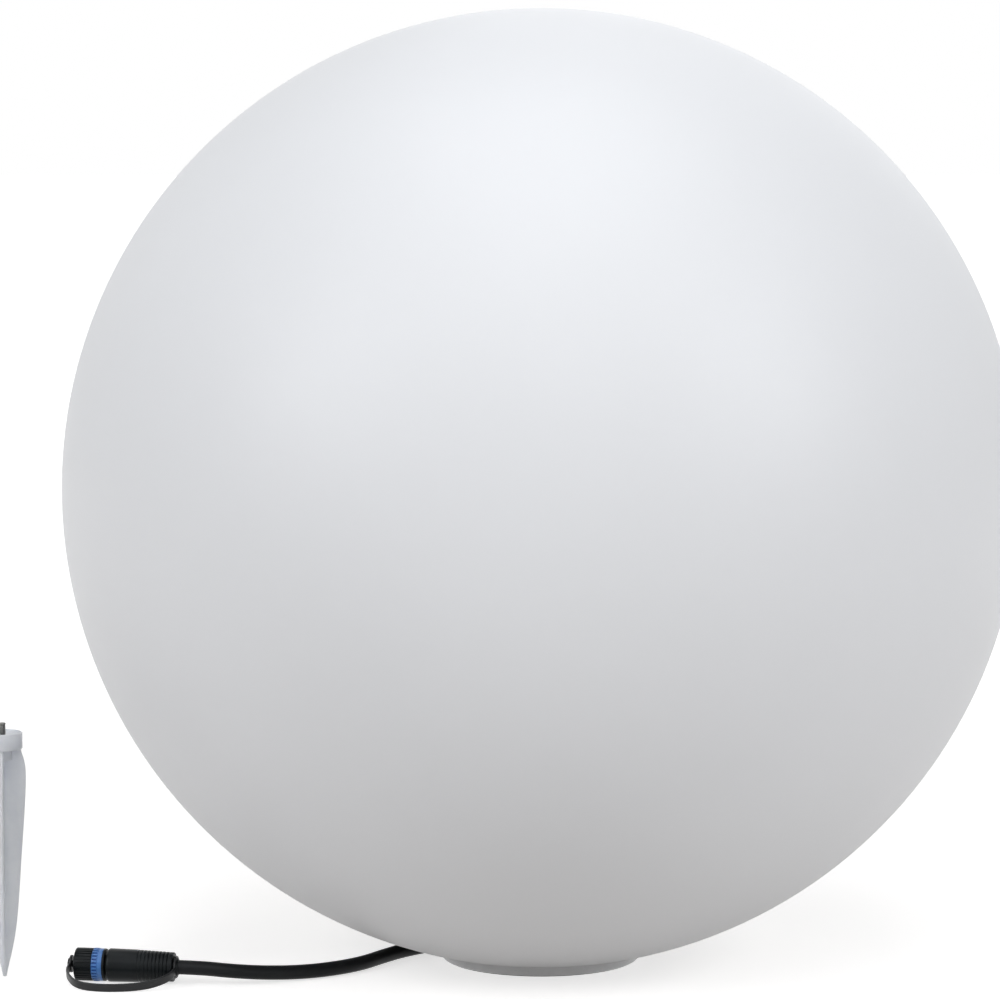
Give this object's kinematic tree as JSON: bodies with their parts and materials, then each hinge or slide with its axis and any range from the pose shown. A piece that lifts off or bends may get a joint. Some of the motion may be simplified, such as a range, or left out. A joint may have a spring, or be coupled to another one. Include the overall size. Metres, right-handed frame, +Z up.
{
  "type": "garden globe light",
  "caption": "Opal garden globe light on a ring foot, with an outdoor lead, a capped low-voltage plug and a separate ground spike.",
  "frame": {"origin": "centre of the foot's underside, on the ground it stands on", "axes": "+Z up through the globe's centre, +X to the right and -Y towards the viewer, with the lead and the spike on the left"},
  "size_m": [0.5406, 0.4998, 0.4995],
  "materials": {
    "opal_shell": "satin opal, rotation moulded",
    "foot_plastic": "satin moulded grey",
    "foot_rubber": "matte",
    "screw_steel": "bright zinc",
    "stud_steel": "dark threaded steel",
    "insert_brass": "machined",
    "lead_black": "matte jacket",
    "plug_black": "satin moulded black",
    "ring_blue": "satin moulded blue",
    "tether_rubber": "satin",
    "seal_rubber": "smooth",
    "clamp_plastic": "moulded",
    "wire_red": "smooth",
    "wire_black": "smooth",
    "board_green": "solder mask",
    "board_white": "white solder mask",
    "terminal_green": "moulded",
    "coil_copper": "enamelled wire",
    "capacitor_sleeve": "sleeved can",
    "chip_black": "moulded package",
    "sink_aluminium": "cast and machined",
    "phosphor": "phosphor gel",
    "lens_clear": "frosted",
    "spike_plastic": "translucent white moulding"
  },
  "bodies": {
    "globe_light": {"globe_shell": "opal_shell", "foot_plate": "foot_plastic", "foot_ring_pad": "foot_rubber", "base_gasket": "seal_rubber", "base_screws": "screw_steel", "shell_inserts": "insert_brass", "spike_insert": "insert_brass", "strain_relief": "lead_black", "lead_tail": "lead_black", "cable_clamp": "clamp_plastic", "clamp_screws": "screw_steel", "positive_lead": "wire_red", "negative_lead": "wire_black", "driver_board": "board_green", "board_screws": "screw_steel", "terminal_block": "terminal_green", "driver_coil": "coil_copper", "driver_capacitors": "capacitor_sleeve", "driver_chip": "chip_black", "hub_seal": "seal_rubber", "heat_sink": "sink_aluminium", "led_board": "board_white", "led_chips": "phosphor", "led_leads": "wire_red", "lens_dome": "lens_clear", "lens_ring": "foot_plastic", "lens_screws": "screw_steel", "lead_cable": "lead_black", "plug_body": "plug_black", "plug_barrel": "plug_black", "contact_pins": "insert_brass", "barrel_seal": "seal_rubber", "cap_tether": "tether_rubber"},
    "coupling_ring": {"coupling_ring": "ring_blue"},
    "dust_cap": {"dust_cap": "plug_black"},
    "spike": {"spike_body": "spike_plastic", "spike_stud": "stud_steel"}
  },
  "joints": [
    {"name": "ring_turn", "type": "hinge", "parent": "globe_light", "child": "coupling_ring", "pos_m": [-0.22774, -0.06125, 0.00865], "axis": [-0.9877, 0.1564, 0], "continuous": true},
    {"name": "cap_pull", "type": "slide", "parent": "globe_light", "child": "dust_cap", "axis": [-0.9877, 0.1564, 0], "range_m": [0, 0.016], "deforming": ["cap_tether"]},
    {"name": "spike_lift", "type": "slide", "parent": "globe_light", "child": "spike", "axis": [0, 0, 1], "range_m": [0, 0.15]}
  ]
}
